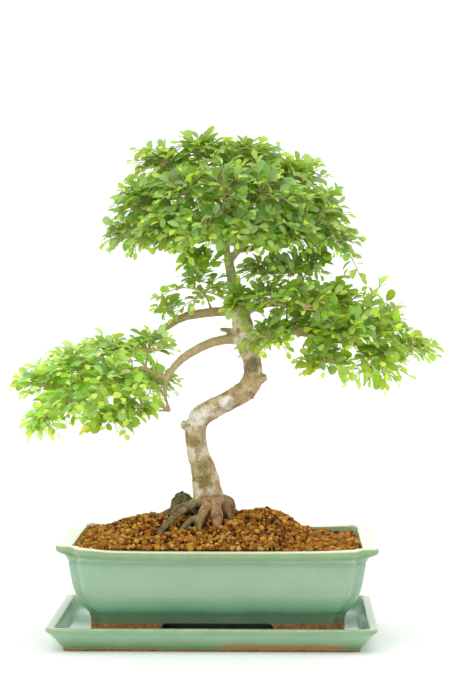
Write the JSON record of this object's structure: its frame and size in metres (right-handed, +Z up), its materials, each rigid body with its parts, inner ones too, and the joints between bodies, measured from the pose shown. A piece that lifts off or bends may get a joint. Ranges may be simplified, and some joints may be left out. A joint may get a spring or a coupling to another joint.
{
  "type": "bonsai tree in a pot",
  "caption": "Small elm bonsai with an S-shaped trunk and layered masses of small leaves, in a glazed rectangular pot with stepped corners on a matching drip tray.",
  "frame": {"origin": "middle of the drip tray's flat underside, which stands on the table", "axes": "+Z up along the tree; +X to the right and +Y to the back, seen from the tree's front"},
  "size_m": [0.346, 0.206, 0.4106],
  "materials": {
    "pot_glaze": "gloss",
    "tray_glaze": "gloss",
    "clay_granules": "matte",
    "elm_bark": "matte",
    "elm_leaves": "satin",
    "moss": "matte",
    "screen_plastic": "matte",
    "clip_wire": "satin"
  },
  "bodies": {
    "root": {"crown_leaves_01": "elm_leaves", "crown_leaves_02": "elm_leaves", "crown_leaves_03": "elm_leaves", "crown_leaves_04": "elm_leaves", "crown_leaves_05": "elm_leaves", "crown_leaves_06": "elm_leaves", "crown_leaves_07": "elm_leaves", "crown_leaves_08": "elm_leaves", "crown_leaves_09": "elm_leaves", "crown_leaves_10": "elm_leaves", "crown_leaves_11": "elm_leaves", "crown_leaves_12": "elm_leaves", "crown_leaves_13": "elm_leaves", "crown_leaves_14": "elm_leaves", "crown_leaves_15": "elm_leaves", "crown_leaves_16": "elm_leaves", "crown_leaves_17": "elm_leaves", "crown_leaves_18": "elm_leaves", "crown_leaves_19": "elm_leaves", "crown_leaves_20": "elm_leaves", "crown_leaves_21": "elm_leaves", "crown_leaves_22": "elm_leaves", "drain_screen_left": "screen_plastic", "drain_screen_right": "screen_plastic", "drip_tray": "tray_glaze", "left_pad_leaves_01": "elm_leaves", "left_pad_leaves_02": "elm_leaves", "left_pad_leaves_03": "elm_leaves", "left_pad_leaves_04": "elm_leaves", "left_pad_leaves_05": "elm_leaves", "left_pad_leaves_06": "elm_leaves", "left_pad_leaves_07": "elm_leaves", "left_pad_leaves_08": "elm_leaves", "left_pad_leaves_09": "elm_leaves", "left_pad_leaves_10": "elm_leaves", "left_pad_leaves_11": "elm_leaves", "left_pad_leaves_12": "elm_leaves", "moss_clump": "moss", "pot": "pot_glaze", "right_pad_leaves_01": "elm_leaves", "right_pad_leaves_02": "elm_leaves", "right_pad_leaves_03": "elm_leaves", "right_pad_leaves_04": "elm_leaves", "right_pad_leaves_05": "elm_leaves", "right_pad_leaves_06": "elm_leaves", "right_pad_leaves_07": "elm_leaves", "right_pad_leaves_08": "elm_leaves", "right_pad_leaves_09": "elm_leaves", "right_pad_leaves_10": "elm_leaves", "right_pad_leaves_11": "elm_leaves", "right_pad_leaves_12": "elm_leaves", "screen_clip_left": "clip_wire", "screen_clip_right": "clip_wire", "soil": "clay_granules", "sprig_leaves_01": "elm_leaves", "sprig_leaves_02": "elm_leaves", "sprig_leaves_03": "elm_leaves", "trunk_and_branches": "elm_bark"}
  },
  "joints": []
}
